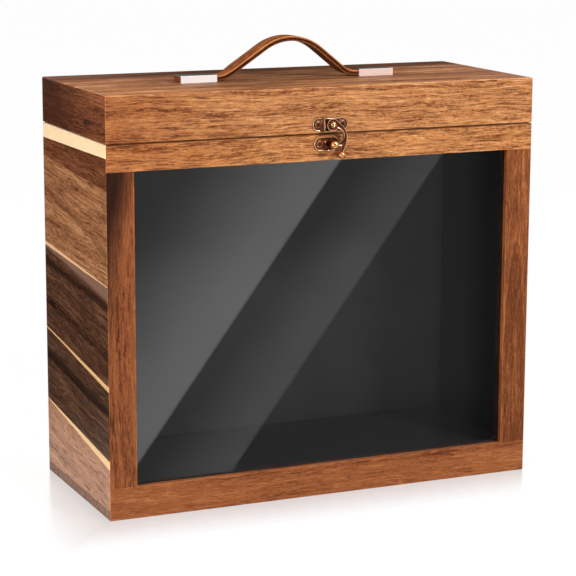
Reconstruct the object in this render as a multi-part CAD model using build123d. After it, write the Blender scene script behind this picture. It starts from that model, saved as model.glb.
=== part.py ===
from build123d import *
import math
import os

# Record storage box: a solid acacia box, glued up closed with mitred corners and sawn open, so that
# its lid carries on the faces below. A glass window fills the front, a swing hook holds the lid
# shut, and a leather strap between two chrome blocks carries it.
# Millimetres. X runs along the front, -Y is the front, +Z is up, and z = 0 is the underside.

# Wooden box
box_width = 400.0
box_depth = 170.0
box_height = 360.0
lid_height = 40.0
lid_gap = 0.8
wall = 10.0
bottom_thick = 9.0
corner_round = 1.2
edge_break = 0.5

# Front frame and window
stile_width = 24.4
top_rail_height = 22.6
bottom_rail_height = 28.0
pane_setback = 5.3
pane_thick = 2.5
rebate_width = 7.0
pane_play = 0.5
bead_depth = 4.2
bead_slope = 1.6

# Glue lines of the edge-glued panels, as shares of the panel's height at the two ends of each line,
# from the top down, and on the lid as shares of its half depth
left_joints = [(0.881, 0.910), (0.632, 0.668), (0.365, 0.424), (0.163, 0.216)]
right_joints = [(0.901, 0.886), (0.685, 0.701), (0.466, 0.441), (0.225, 0.238)]
back_joints = [(0.810, 0.810), (0.613, 0.613), (0.419, 0.419), (0.219, 0.219)]
lid_joints = [-0.34, 0.28]

# Lining
felt_thick = 1.5
floor_pad_thick = 17.5
back_pad_thick = 16.0
lining_drop = 2.0
soft_clearance = 0.3

# Hinges
hinge_offset = 125.0
leaf_length = 38.0
leaf_width = 12.0
leaf_thick = 1.2
knuckle_radius = 2.6
knuckle_count = 3
knuckle_gap = 0.3
hinge_stand_off = 0.15
pin_radius = 1.1
pin_clearance = 0.05
pin_head_radius = 1.7
pin_head_thick = 0.7
hinge_screw_spacing = 22.0
hinge_screw_length = 8.0

# Screws: every hole is this much larger than its screw
screw_clearance = 0.05
small_head_radius = 2.6
small_shank_radius = 1.4
handle_head_radius = 3.2
handle_shank_radius = 1.6

# Swing hook latch, measured from its pivot
latch_x = 1.6
pivot_above_lid_edge = 7.4
sheet = 1.2
plate_length = 32.8
plate_height = 11.3
plate_screw_spacing = 22.6
bridge_half_length = 7.2
bridge_top = 5.0
bridge_ramp = 1.4
rivet_head_radius = 2.8
rivet_head_height = 2.4
rivet_radius = 1.6
rivet_clearance = 0.06
arm_thick = 1.8
arm_clearance = 0.2
ring_radius = 5.4
catch_drop = 16.6
catch_length = 23.4
catch_height = 12.0
catch_left = 14.8
catch_screw_left = 9.8
post_x = -0.4
post_collar_radius = 3.6
post_collar_thick = 2.2
post_neck_radius = 1.5
post_neck_length = 4.3
post_ball_radius = 3.6
knob_x = 6.5
knob_below_post = 9.1
knob_radius = 3.1
knob_collar_radius = 2.4
knob_collar_thick = 0.4
knob_neck_length = 0.6
knob_boss_radius = 3.0
latch_screw_length = 8.0

# Handle, measured from the point halfway between its blocks
handle_x = -6.0
handle_y = -8.0
grip_span = 135.4
block_length = 34.0
block_depth = 16.5
block_height = 6.2
block_edge = 0.4
strap_width = 15.0
layer_thick = 2.1
strap_play = 0.15
tongue_length = 26.0
tongue_play = 0.6
rise_start_left = 7.0
rise_start_right = 10.3
strap_peak_shift = 4.1
strap_peak_height = 42.8
strap_top_radius = 44.4
strap_left_radius = 16.0
strap_right_radius = 20.0
tongue_screw_inset = 17.0
block_screw_inset = 30.0

# Places worked out from the sizes
half_width = box_width / 2
half_depth = box_depth / 2
body_top = box_height - lid_height - lid_gap / 2
lid_bottom = box_height - lid_height + lid_gap / 2
window_half = half_width - stile_width
window_low = bottom_rail_height
window_high = body_top - top_rail_height
pane_front = -half_depth + pane_setback
pane_back = pane_front + pane_thick
frame_back = -half_depth + wall
bead_back = pane_back + bead_depth
floor_top = bottom_thick + floor_pad_thick
lining_top = body_top - lining_drop
back_pad_front = half_depth - wall - back_pad_thick
lining_front = max(bead_back, frame_back) + soft_clearance
hinge_axis_y = half_depth + knuckle_radius + hinge_stand_off
hinge_axis_z = box_height - lid_height
pivot_z = lid_bottom + pivot_above_lid_edge
arm_back = bridge_top + arm_clearance
arm_front = arm_back + arm_thick
knob_drop = catch_drop + knob_below_post
strap_thick = 2 * layer_thick
strap_mid_z = box_height + block_height / 2

LOW = (Align.CENTER, Align.CENTER, Align.MIN)
BIG = 4 * max(box_width, box_depth, box_height)

parts = {}


def keep(name, shape):
    """Store a named piece, made of one solid or of a group of separate solids."""
    parts[name] = shape


def span_box(low, high):
    """A box from its lowest corner to its highest corner."""
    size = [b - a for a, b in zip(low, high)]
    return Pos(*low) * Box(*size, align=(Align.MIN, Align.MIN, Align.MIN))


def front_plane(x, z):
    """A frame on the front face: x to the right, y up, z out of the box."""
    return Plane(origin=(x, -half_depth, z), x_dir=(1, 0, 0), z_dir=(0, -1, 0))


def back_plane(x, z):
    """A frame on the back face: y up, z out of the box."""
    return Plane(origin=(x, half_depth, z), x_dir=(-1, 0, 0), z_dir=(0, 1, 0))


# Wood

def envelope(low, high, round_top):
    """The outside of the body or of the lid, with softened corners and edges."""
    block = Pos(0, 0, low) * Box(box_width, box_depth, high - low, align=LOW)
    block = fillet(block.edges().filter_by(Axis.Z), corner_round)
    if round_top:
        block = fillet(block.faces().sort_by(Axis.Z)[-1].edges(), corner_round)
        return chamfer(block.faces().sort_by(Axis.Z)[0].edges(), edge_break)
    ends = block.faces().sort_by(Axis.Z)
    return chamfer(ends[0].edges() + ends[-1].edges(), edge_break)


def mitred_board(length, low, high, top_mitre=0.0):
    """An upright board behind the plane y = 0, with 45 degree ends and a mitred top where asked."""
    height = high - low
    board = Wedge(length, wall, height, wall, 0, length - wall, height - top_mitre,
                  align=(Align.CENTER, Align.MIN, Align.MIN))
    return Pos(0, 0, low) * board


def on_wall(side, board):
    """Turn a board that faces -Y onto one wall of the box."""
    places = {
        "front": Pos(0, -half_depth, 0),
        "back": Pos(0, half_depth, 0) * Rot(0, 0, 180),
        "left": Pos(-half_width, 0, 0) * Rot(0, 0, -90),
        "right": Pos(half_width, 0, 0) * Rot(0, 0, 90),
    }
    return places[side] * board


def half_space_above(start, end, along_x):
    """Everything above a slanting line drawn from one end of a wall to the other."""
    reach = half_width if along_x else half_depth
    slope = (end - start) / (2 * reach)
    middle = (start + end) / 2
    outline = [(-BIG, middle - slope * BIG), (BIG, middle + slope * BIG), (BIG, BIG), (-BIG, BIG)]
    face = make_face(Polyline(*outline, close=True))
    if along_x:
        return extrude(Plane.XZ * face, BIG, both=True)
    return extrude(Plane.YZ * face, BIG, both=True)


def keep_staves(name, panel, joints, along_x):
    """Split an edge-glued panel at its glue lines into staves, from the top down."""
    rest = panel
    for number, (start, end) in enumerate(joints, 1):
        above = half_space_above(start * body_top, end * body_top, along_x)
        keep(f"{name}_stave_{number}", rest & above)
        rest = rest - above
    keep(f"{name}_stave_{len(joints) + 1}", rest)


def body_boards():
    body = envelope(0, body_top, False)
    hinge_holes = hinge_screw_holes(-1)

    left = on_wall("left", mitred_board(box_depth, bottom_thick, body_top)) & body
    right = on_wall("right", mitred_board(box_depth, bottom_thick, body_top)) & body
    back = on_wall("back", mitred_board(box_width, bottom_thick, body_top)) & body
    keep_staves("side_left", left, left_joints, False)
    keep_staves("side_right", right, right_joints, False)
    keep_staves("back", back - hinge_holes, back_joints, True)

    full_front = on_wall("front", mitred_board(box_width, 0, body_top)) & body
    opening = span_box((-window_half, -half_depth, window_low), (window_half, frame_back, window_high))
    rebate = span_box((-window_half - rebate_width, pane_front, window_low - rebate_width),
                      (window_half + rebate_width, frame_back, window_high + rebate_width))
    framed = full_front - opening - rebate
    rails_gap = span_box((-half_width, -half_depth, window_low), (half_width, frame_back, window_high))
    stiles = framed & rails_gap
    rails = framed - rails_gap
    low_rail, high_rail = rails.solids().sort_by(Axis.Z)
    left_stile, right_stile = stiles.solids().sort_by(Axis.X)
    keep("front_bottom_rail", low_rail)
    keep("front_top_rail", high_rail - catch_holes())
    keep("front_stile_left", left_stile)
    keep("front_stile_right", right_stile)

    floor = span_box((-half_width, -half_depth, 0), (half_width, half_depth, bottom_thick)) & body
    keep("bottom_board", floor - on_wall("front", mitred_board(box_width, 0, body_top)))


def lid_boards():
    lid = envelope(lid_bottom, box_height, True)
    sides = {"front": box_width, "back": box_width, "left": box_depth, "right": box_depth}
    for side, length in sides.items():
        board = on_wall(side, mitred_board(length, lid_bottom, box_height, wall)) & lid
        if side == "front":
            board = board - latch_screw_holes()
        if side == "back":
            board = board - hinge_screw_holes(1)
        keep(f"lid_{side}", board)

    panel = Wedge(box_width, wall, box_depth, wall, wall, box_width - wall, box_depth - wall,
                  align=(Align.CENTER, Align.MIN, Align.CENTER))
    panel = (Pos(0, 0, box_height) * Rot(-90, 0, 0) * panel) & lid
    panel = panel - handle_screw_holes()
    edges = [-half_depth] + [share * half_depth for share in lid_joints] + [half_depth]
    for number, (near, far) in enumerate(zip(edges, edges[1:]), 1):
        strip = span_box((-half_width, near, lid_bottom), (half_width, far, box_height))
        keep(f"lid_top_stave_{number}", panel & strip)


# Window

def pane_bead(length):
    """A glazing bead lying along X: its long back against the rebate, its sloped side into the box."""
    bead = Wedge(length, rebate_width, bead_depth, rebate_width, 0, length - rebate_width,
                 bead_depth - bead_slope, align=(Align.CENTER, Align.MIN, Align.MIN))
    return Rot(-90, 0, 0) * bead


def window():
    reach = rebate_width - pane_play
    keep("window_pane", span_box((-window_half - reach, pane_front, window_low - reach),
                                 (window_half + reach, pane_back, window_high + reach)))
    wide = 2 * (window_half + rebate_width)
    tall = window_high - window_low + 2 * rebate_width
    middle = (window_low + window_high) / 2
    for name, length, drop, turn in (("top", wide, tall / 2, 0), ("left", tall, wide / 2, -90),
                                     ("bottom", wide, tall / 2, 180), ("right", tall, wide / 2, 90)):
        bead = Pos(0, pane_back, middle) * Rot(0, turn, 0) * Pos(0, 0, drop) * pane_bead(length)
        keep(f"pane_bead_{name}", bead)


# Lining

def lining():
    inner_x = half_width - wall
    inner_back = half_depth - wall
    keep("floor_pad", span_box((-inner_x, lining_front, bottom_thick), (inner_x, inner_back, floor_top)))
    keep("back_pad", span_box((-inner_x, back_pad_front, floor_top), (inner_x, inner_back, lining_top)))
    for name, low_x in (("left", -inner_x), ("right", inner_x - felt_thick)):
        keep(f"lining_{name}", span_box((low_x, lining_front, floor_top),
                                        (low_x + felt_thick, back_pad_front, lining_top)))
    under_top = box_height - wall
    keep("lid_lining", span_box((-inner_x, -inner_back, under_top - felt_thick),
                                (inner_x, inner_back, under_top)))


# Screws, drawn with the head's top at z = 0 and the shank down

def countersunk(head_radius, shank_radius, length, grow=0.0):
    """A countersunk screw, or its hole when it is grown by a clearance."""
    head = head_radius - shank_radius
    outline = Polyline((0, 0), (head_radius + grow, 0), (shank_radius + grow, -head),
                       (shank_radius + grow, -length - grow), (0, -length - grow), close=True)
    return revolve(Plane.XZ * make_face(outline), Axis.Z)


def screws_at(places, head_radius, shank_radius, length, grow=0.0):
    """The same screw at each of some frames, as a group of separate solids."""
    made = [place * countersunk(head_radius, shank_radius, length, grow) for place in places]
    return made[0] + made[1:] if len(made) > 1 else made[0]


# Hinges

def hinge_screw_places(side):
    """Frames for the screws of both leaves on one side: 1 is the lid's leaves, -1 is the body's."""
    edge = lid_bottom if side > 0 else body_top
    height = edge + side * leaf_width * 0.6
    places = []
    for centre in (-hinge_offset, hinge_offset):
        for shift in (-hinge_screw_spacing / 2, hinge_screw_spacing / 2):
            places.append(back_plane(centre + shift, height).offset(leaf_thick))
    return places


def hinge_screw_holes(side):
    return screws_at(hinge_screw_places(side), small_head_radius, small_shank_radius,
                     hinge_screw_length, screw_clearance)


def knuckle_spans(side):
    """The stretches of the barrel that belong to one leaf, as centres along X."""
    pitch = leaf_length / knuckle_count
    first = 0 if side < 0 else 1
    return [-leaf_length / 2 + pitch * (n + 0.5) for n in range(first, knuckle_count, 2)]


def hinge_leaf(centre, side):
    """One leaf of a surface-mounted butt hinge, with its knuckles."""
    pitch = leaf_length / knuckle_count
    edge = lid_bottom if side > 0 else body_top
    low, high = sorted((edge, edge + side * leaf_width))
    leaf = span_box((centre - leaf_length / 2, half_depth, low),
                    (centre + leaf_length / 2, half_depth + leaf_thick, high))
    outer = leaf.edges().filter_by(Axis.Y).sort_by(Axis.Z)
    leaf = fillet(outer[-2:] if side > 0 else outer[:2], corner_round)
    relief = knuckle_radius + hinge_stand_off
    for x in knuckle_spans(-side):
        notch = Box(pitch + knuckle_gap, 2 * relief, 2 * relief)
        leaf = leaf - Pos(centre + x, hinge_axis_y, hinge_axis_z) * notch
    for x in knuckle_spans(side):
        barrel = Rot(0, 90, 0) * Cylinder(knuckle_radius, pitch - knuckle_gap)
        leaf = leaf + Pos(centre + x, hinge_axis_y, hinge_axis_z) * barrel
    bore = Rot(0, 90, 0) * Cylinder(pin_radius + pin_clearance, 2 * leaf_length)
    return leaf - Pos(centre, hinge_axis_y, hinge_axis_z) * bore - hinge_screw_holes(side)


def hinge_pin(centre):
    """A hinge pin with a small head at each end."""
    head_at = leaf_length / 2 + pin_clearance
    pin = Cylinder(pin_radius, 2 * head_at)
    head = Cylinder(pin_head_radius, pin_head_thick)
    for way in (-1, 1):
        pin = pin + Pos(0, 0, way * (head_at + pin_head_thick / 2)) * head
    return Pos(centre, hinge_axis_y, hinge_axis_z) * Rot(0, 90, 0) * pin


def hinges():
    for name, centre in (("left", -hinge_offset), ("right", hinge_offset)):
        keep(f"hinge_body_leaf_{name}", hinge_leaf(centre, -1))
        keep(f"hinge_lid_leaf_{name}", hinge_leaf(centre, 1))
        keep(f"hinge_pin_{name}", hinge_pin(centre))
    for name, side in (("body", -1), ("lid", 1)):
        keep(f"hinge_{name}_screws", screws_at(hinge_screw_places(side), small_head_radius,
                                               small_shank_radius, hinge_screw_length))


# Swing hook latch, drawn in the front plane's frame around the pivot

latch = front_plane(latch_x, pivot_z)


def latch_screw_places():
    return [latch * Location((x, 0, sheet)) for x in (-plate_screw_spacing / 2, plate_screw_spacing / 2)]


def latch_screw_holes():
    holes = screws_at(latch_screw_places(), small_head_radius, small_shank_radius,
                      latch_screw_length, screw_clearance)
    return holes


def catch_screw_places():
    return [latch * Location((-catch_screw_left, -catch_drop, sheet))]


def catch_holes():
    return screws_at(catch_screw_places(), small_head_radius, small_shank_radius,
                     latch_screw_length, screw_clearance)


def stadium(length, height, thick):
    """A strip of sheet with round ends and softened front edges."""
    strip = extrude(SlotOverall(length, height), thick)
    return chamfer(strip.faces().sort_by(Axis.Z)[-1].edges(), edge_break / 2)


def latch_plate():
    """The pivot plate: two flat screw tabs and a pressed bridge between them that carries the pivot."""
    foot = bridge_half_length + bridge_ramp
    step = bridge_top - sheet
    outer = Polyline((-foot, sheet), (-bridge_half_length, bridge_top), (bridge_half_length, bridge_top),
                     (foot, sheet), (foot, 0), (bridge_half_length, step), (-bridge_half_length, step),
                     (-foot, 0), close=True)
    bridge = extrude(Plane.XZ * make_face(outer), plate_height / 2, both=True)
    tabs = stadium(plate_length, plate_height, sheet) - Box(2 * foot, plate_height, 4 * sheet)
    plate = tabs + bridge - Cylinder(rivet_radius + rivet_clearance, 4 * bridge_top)
    return latch * plate - latch_screw_holes()


def latch_rivet():
    """The pivot rivet: a shank through the arm and the bridge, under a domed head."""
    head_low = arm_front + arm_clearance / 2
    tail_low = bridge_top - sheet - 0.6
    outline = Polyline((0, tail_low), (rivet_radius + 0.7, tail_low),
                       (rivet_radius + 0.7, bridge_top - sheet - 0.05),
                       (rivet_radius, bridge_top - sheet - 0.05), (rivet_radius, head_low),
                       (rivet_head_radius, head_low), (rivet_head_radius, head_low + 0.5))
    crown = ThreePointArc((rivet_head_radius, head_low + 0.5),
                          (rivet_head_radius * 0.72, head_low + rivet_head_height * 0.78),
                          (0.9, head_low + rivet_head_height))
    dimple = Polyline((0.9, head_low + rivet_head_height), (0, head_low + rivet_head_height - 0.4),
                      (0, tail_low))
    return latch * revolve(Plane.XZ * make_face([outline, crown, dimple]), Axis.Z)


def latch_hook():
    """The swinging arm: a ring on the pivot, a crescent, a jaw for the catch post and a tail."""
    pivot = Vector(0, 0)
    post = Vector(post_x, -catch_drop)
    knob = Vector(knob_x, -knob_drop)
    half_way = (pivot + post) / 2

    ring_top = Vector(ring_radius, 0).rotate(Axis.Z, 65)
    ring_low = Vector(ring_radius, 0).rotate(Axis.Z, -28)
    shoulder = ring_top + Vector(8.0, -7.0)
    outer_end = post + Vector(12.3, -2.2)
    tail_right = knob + Vector(2.6, 1.5)
    tail_left = knob + Vector(-2.5, 1.7)
    jaw_root = post + Vector(8.4, -1.2)
    jaw_tip_low = post + Vector(3.4, -3.3)
    jaw_tip_high = post + Vector(2.0, -1.8)
    throat = post + Vector(6.8, 2.1)
    inner_top = ring_low + Vector(3.0, -2.2)
    crescent = [
        Line(ring_top, shoulder),
        ThreePointArc(shoulder, half_way + Vector(13.4, -1.3), outer_end),
        Polyline(outer_end, tail_right, knob, tail_left),
        ThreePointArc(tail_left, post + Vector(7.3, -4.4), jaw_root),
        ThreePointArc(jaw_root, post + Vector(6.0, -1.7), jaw_tip_low),
        ThreePointArc(jaw_tip_low, post + Vector(2.0, -3.1), jaw_tip_high),
        Line(jaw_tip_high, throat),
        ThreePointArc(throat, half_way + Vector(10.5, -1.7), inner_top),
        Polyline(inner_top, ring_low, pivot, ring_top),
    ]
    outline = make_face(crescent) + Circle(ring_radius) + Pos(knob_x, -knob_drop) * Circle(knob_boss_radius)
    arm = Pos(0, 0, arm_back) * extrude(outline, arm_thick)
    arm = arm - Cylinder(rivet_radius + rivet_clearance, 4 * arm_front)
    arm = arm - Pos(knob_x, -knob_drop) * Cylinder(post_neck_radius + screw_clearance, 4 * arm_front)
    return latch * arm


def turned_knob(low, seat, collar_radius, collar_thick, neck_length, ball_radius):
    """A small turned knob: a shank below its seat, a collar, a neck and a ball with a flat crown."""
    flat = ball_radius * 0.35
    crown = math.sqrt(ball_radius ** 2 - flat ** 2)
    foot = math.sqrt(ball_radius ** 2 - post_neck_radius ** 2)
    collar_top = seat + collar_thick
    ball_at = collar_top + neck_length + foot
    stem = Polyline((0, low), (post_neck_radius, low), (post_neck_radius, seat), (collar_radius, seat),
                    (collar_radius, collar_top), (post_neck_radius, collar_top),
                    (post_neck_radius, ball_at - foot))
    ball = ThreePointArc((post_neck_radius, ball_at - foot), (ball_radius, ball_at), (flat, ball_at + crown))
    top = Polyline((flat, ball_at + crown), (0, ball_at + crown), (0, low))
    return revolve(Plane.XZ * make_face([stem, ball, top]), Axis.Z)


def latch_set():
    keep("latch_plate", latch_plate())
    keep("latch_rivet", latch_rivet())
    keep("latch_hook", latch_hook())
    keep("latch_plate_screws", screws_at(latch_screw_places(), small_head_radius, small_shank_radius,
                                         latch_screw_length))

    centre = catch_length / 2 - catch_left
    plate = Pos(centre, -catch_drop) * stadium(catch_length, catch_height, sheet)
    plate = plate - Pos(post_x, -catch_drop) * Cylinder(post_neck_radius + screw_clearance, 4 * sheet)
    keep("catch_plate", latch * plate - catch_holes())
    post = turned_knob(0, sheet, post_collar_radius, post_collar_thick, post_neck_length, post_ball_radius)
    keep("catch_post", latch * Pos(post_x, -catch_drop) * post)
    keep("catch_screw", screws_at(catch_screw_places(), small_head_radius, small_shank_radius,
                                  latch_screw_length))
    knob = turned_knob(arm_back, arm_front, knob_collar_radius, knob_collar_thick, knob_neck_length,
                       knob_radius)
    keep("finger_knob", latch * Pos(knob_x, -knob_drop) * knob)


# Handle

def strap_line(offset):
    """The strap's side view, raised by an offset from its middle line: flat, up, over, down, flat."""
    end = grip_span / 2 + tongue_length - tongue_play
    left = (-grip_span / 2 + rise_start_left, 0)
    right = (grip_span / 2 - rise_start_right, 0)
    peak = (strap_peak_shift, strap_peak_height)
    up = math.atan2(peak[1] - left[1], peak[0] - left[0])
    down = math.atan2(peak[1] - right[1], right[0] - peak[0])
    turn = (up + down) / 2
    lean = (up - down) / 2
    raised = offset / math.cos(turn)
    points = [
        (-end, offset),
        (left[0] - offset * math.tan(up / 2), offset),
        (peak[0] - raised * math.sin(lean), peak[1] + raised * math.cos(lean)),
        (right[0] + offset * math.tan(down / 2), offset),
        (end, offset),
    ]
    radii = [strap_left_radius - offset, strap_top_radius + offset, strap_right_radius - offset]
    return FilletPolyline(*points, radius=radii)


def strap_layer(low, high):
    """One leather layer between two offsets from the strap's middle line."""
    bottom = strap_line(low)
    top = strap_line(high)
    ends = [Line(bottom @ 0, top @ 0), Line(bottom @ 1, top @ 1)]
    face = make_face([bottom, top] + ends)
    layer = extrude(Plane.XZ * face, strap_width / 2, both=True)
    return Pos(handle_x, handle_y, strap_mid_z) * layer


def handle_screw_places():
    """Frames for the screws that rise through the lid: head down, one in each tongue and block end."""
    under = box_height - wall
    places = []
    for way in (-1, 1):
        for inset in (tongue_screw_inset, block_screw_inset):
            x = handle_x + way * (grip_span / 2 + inset)
            places.append(Plane(origin=(x, handle_y, under), x_dir=(1, 0, 0), z_dir=(0, 0, -1)))
    return places


def handle_screw_length():
    return wall + (block_height + strap_thick) / 2 + 0.5


def handle_screw_holes():
    return screws_at(handle_screw_places(), handle_head_radius, handle_shank_radius,
                     handle_screw_length(), screw_clearance)


def handle_block(way):
    """A chrome end block: a hollow cap whose mouth takes the strap's tongue."""
    centre = handle_x + way * (grip_span / 2 + block_length / 2)
    block = Pos(centre, handle_y, box_height) * Box(block_length, block_depth, block_height, align=LOW)
    block = chamfer(block.edges().filter_by(Axis.Z) + block.faces().sort_by(Axis.Z)[-1].edges(), block_edge)
    mouth_at = handle_x + way * (grip_span / 2 + tongue_length / 2)
    mouth = Box(tongue_length, strap_width + 2 * strap_play, strap_thick + 2 * strap_play)
    return block - Pos(mouth_at, handle_y, strap_mid_z) * mouth - handle_screw_holes()


def handle():
    for name, way in (("left", -1), ("right", 1)):
        keep(f"handle_block_{name}", handle_block(way))
    keep("strap_outer", strap_layer(0, layer_thick) - handle_screw_holes())
    keep("strap_lining", strap_layer(-layer_thick, 0) - handle_screw_holes())
    keep("handle_screws", screws_at(handle_screw_places(), handle_head_radius, handle_shank_radius,
                                    handle_screw_length()))


body_boards()
lid_boards()
window()
lining()
hinges()
latch_set()
handle()

os.makedirs("parts", exist_ok=True)
for name, shape in parts.items():
    solids = shape.solids()
    export_step(solids[0] if len(solids) == 1 else Compound(children=list(solids)), f"parts/{name}.step")
print(len(parts), "nodes,", sum(len(shape.solids()) for shape in parts.values()), "solids")
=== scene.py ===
import math

import bmesh
import bpy
from mathutils import Matrix, Vector, noise

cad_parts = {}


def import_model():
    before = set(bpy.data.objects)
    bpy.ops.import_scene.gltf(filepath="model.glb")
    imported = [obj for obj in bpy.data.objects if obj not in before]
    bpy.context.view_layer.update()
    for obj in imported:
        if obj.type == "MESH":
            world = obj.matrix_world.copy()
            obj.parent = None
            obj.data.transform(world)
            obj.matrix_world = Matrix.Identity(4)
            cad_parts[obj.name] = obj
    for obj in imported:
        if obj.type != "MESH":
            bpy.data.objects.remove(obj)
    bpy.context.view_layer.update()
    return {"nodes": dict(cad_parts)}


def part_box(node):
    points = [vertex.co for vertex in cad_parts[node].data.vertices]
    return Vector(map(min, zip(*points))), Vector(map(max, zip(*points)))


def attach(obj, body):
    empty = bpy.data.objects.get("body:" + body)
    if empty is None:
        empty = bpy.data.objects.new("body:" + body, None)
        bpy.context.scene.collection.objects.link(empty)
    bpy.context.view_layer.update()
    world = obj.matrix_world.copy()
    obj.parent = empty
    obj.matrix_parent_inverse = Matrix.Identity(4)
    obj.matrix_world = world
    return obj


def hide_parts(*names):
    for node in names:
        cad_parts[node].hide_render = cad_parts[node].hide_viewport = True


# Record storage box: lacquered acacia with a glass front, a black velvet lining, an antique copper
# swing hook latch and a leather strap between two chrome blocks. The frame holds every rigid piece;
# this script adds the finishes, the lining, the strap, the small fasteners, the light and the camera.

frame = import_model()
nodes = frame["nodes"]
MM = 0.001

# Without a seed, the noise that ripples the velvet would start from the clock and differ in each run
noise.seed_set(1)

top_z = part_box("lid_top_stave_1")[1].z
seam_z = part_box("front_top_rail")[1].z
front_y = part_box("front_top_rail")[0].y
half_depth = -front_y
half_width = -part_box("lid_left")[0].x
window_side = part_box("front_stile_right")[0].x
window_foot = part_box("front_bottom_rail")[1].z
window_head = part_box("front_top_rail")[0].z


def srgb(red, green, blue):
    """A colour written as a display colour from 0 to 255, as the linear values that shaders take."""
    def linear(value):
        value /= 255
        return value / 12.92 if value <= 0.04045 else ((value + 0.055) / 1.055) ** 2.4
    return (linear(red), linear(green), linear(blue), 1.0)


def grey(value):
    return (value, value, value, 1.0)


# Node helper


class Shade:
    """A node tree under construction. Each method adds a node and gives back its output."""

    def __init__(self, tree):
        self.tree = tree

    def node(self, kind, inputs=None, **settings):
        made = self.tree.nodes.new("ShaderNode" + kind)
        for key, value in settings.items():
            setattr(made, key, value)
        for key, value in (inputs or {}).items():
            self.feed(made.inputs[key], value)
        return made

    def feed(self, socket, value):
        if isinstance(value, bpy.types.NodeSocket):
            self.tree.links.new(value, socket)
        else:
            socket.default_value = value

    def math(self, operation, first, second=0.0):
        return self.node("Math", {0: first, 1: second}, operation=operation).outputs[0]

    def add(self, first, second):
        return self.math("ADD", first, second)

    def times(self, first, second):
        return self.math("MULTIPLY", first, second)

    def less(self, first, second):
        return self.math("SUBTRACT", first, second)

    def larger(self, first, second):
        return self.math("MAXIMUM", first, second)

    def unsigned(self, value):
        return self.math("ABSOLUTE", value)

    def sway(self, value, reach):
        """A value about its middle of 0.5, times a reach."""
        return self.times(self.less(value, 0.5), reach)

    def step(self, value, low, high, to_low=0.0, to_high=1.0):
        """A smooth step from one value to another as the input goes from low to high."""
        inputs = {"Value": value, "From Min": low, "From Max": high, "To Min": to_low, "To Max": to_high}
        return self.node("MapRange", inputs, interpolation_type="SMOOTHSTEP").outputs["Result"]

    def vector(self, x, y, z):
        return self.node("CombineXYZ", {0: x, 1: y, 2: z}).outputs[0]

    def split(self, vector):
        return self.node("SeparateXYZ", {0: vector}).outputs[:]

    def stretch(self, vector, x, y, z):
        return self.node("VectorMath", {0: vector, 1: (x, y, z)}, operation="MULTIPLY").outputs[0]

    def shift(self, vector, by):
        return self.node("VectorMath", {0: vector, 1: by}, operation="ADD").outputs[0]

    def noise(self, vector, detail=2.0, roughness=0.5, scale=1.0):
        inputs = {"Vector": vector, "Scale": scale, "Detail": detail, "Roughness": roughness}
        return self.node("TexNoise", inputs)

    def grain(self, vector, detail=2.0, roughness=0.5, scale=1.0):
        return self.noise(vector, detail, roughness, scale).outputs[0]

    def marks(self, place, x, y, z, **look):
        """Noise with marks about so many mm long along each axis, for a place in mm."""
        return self.grain(self.stretch(place, 1 / x, 1 / y, 1 / z), **look)

    def mix(self, share, first, second, blend="MIX"):
        made = self.node("Mix", data_type="RGBA", blend_type=blend)
        self.feed(made.inputs[0], share)
        self.feed(made.inputs[6], first)
        self.feed(made.inputs[7], second)
        return made.outputs[2]

    def tint(self, colour, factor):
        """A colour times another, channel by channel."""
        return self.mix(1.0, colour, factor, "MULTIPLY")

    def shader(self, kind, **inputs):
        """A shader's output. Inputs are named as its sockets, with _ for spaces."""
        sockets = {key.replace("_", " "): value for key, value in inputs.items()}
        return self.node(kind, sockets).outputs[0]

    def blend(self, share, first, second):
        """A mix of two shaders."""
        return self.node("MixShader", {0: share, 1: first, 2: second}).outputs[0]

    def bump(self, height, distance, strength):
        return self.node("Bump", {"Height": height, "Distance": distance, "Strength": strength}).outputs[0]

    def place(self):
        return self.node("TexCoord").outputs["Object"]

    def place_in_mm(self):
        return self.stretch(self.place(), 1 / MM, 1 / MM, 1 / MM)


def empty_shade(owner):
    """The helper that fills a material's or world's node tree, once that is empty."""
    owner.use_nodes = True
    owner.node_tree.nodes.clear()
    return Shade(owner.node_tree)


def new_material(name):
    made = bpy.data.materials.new(name)
    return made, empty_shade(made)


def show(s, shader):
    """Make a shader the material's result."""
    s.node("OutputMaterial", {"Surface": shader})


def surface(s, **inputs):
    show(s, s.shader("BsdfPrincipled", **inputs))


def give(material, *names):
    """Put a material on pieces, in place of what they have."""
    for name in names:
        data = bpy.data.objects[name].data
        data.materials.clear()
        data.materials.append(material)


# Acacia


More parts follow.
